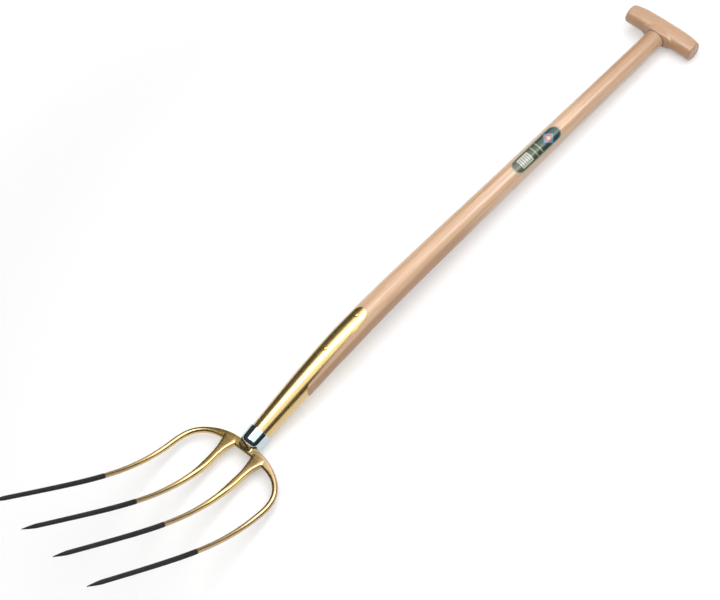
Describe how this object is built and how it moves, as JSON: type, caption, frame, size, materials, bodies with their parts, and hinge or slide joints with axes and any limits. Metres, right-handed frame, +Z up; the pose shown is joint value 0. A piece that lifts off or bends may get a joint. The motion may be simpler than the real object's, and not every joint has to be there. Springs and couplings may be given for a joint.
{
  "type": "manure fork",
  "caption": "Garden fork for manure: slim curved tines on a crossbar, a strapped socket on a long bent wooden shaft, and a wooden T grip at its top.",
  "frame": {"origin": "on the ground under the middle of the fork's box, with the fork lying on its back as pictured", "axes": "+X along the tool from the grip to the tine points, +Y across it, +Z up out of the face"},
  "size_m": [1.2022, 0.1874, 0.1976],
  "materials": {
    "gold_forging": "gold lacquer over forged steel, with the lower tines dipped in matte black",
    "bright_ring": "polished",
    "gold_lacquer": "glossy gold lacquer on sheet steel",
    "ash": "satin varnish",
    "ash_grip": "satin varnish",
    "wedge_wood": "bare",
    "rivet_steel": "gold lacquer on steel",
    "label_foil": "printed foil, satin"
  },
  "bodies": {
    "root": {"fork_head": "gold_forging", "neck_ring": "bright_ring", "socket": "gold_lacquer", "shaft": "ash", "grip": "ash_grip", "tenon_wedge": "wedge_wood", "rivet_upper": "rivet_steel", "rivet_lower": "rivet_steel", "label": "label_foil"}
  },
  "joints": []
}
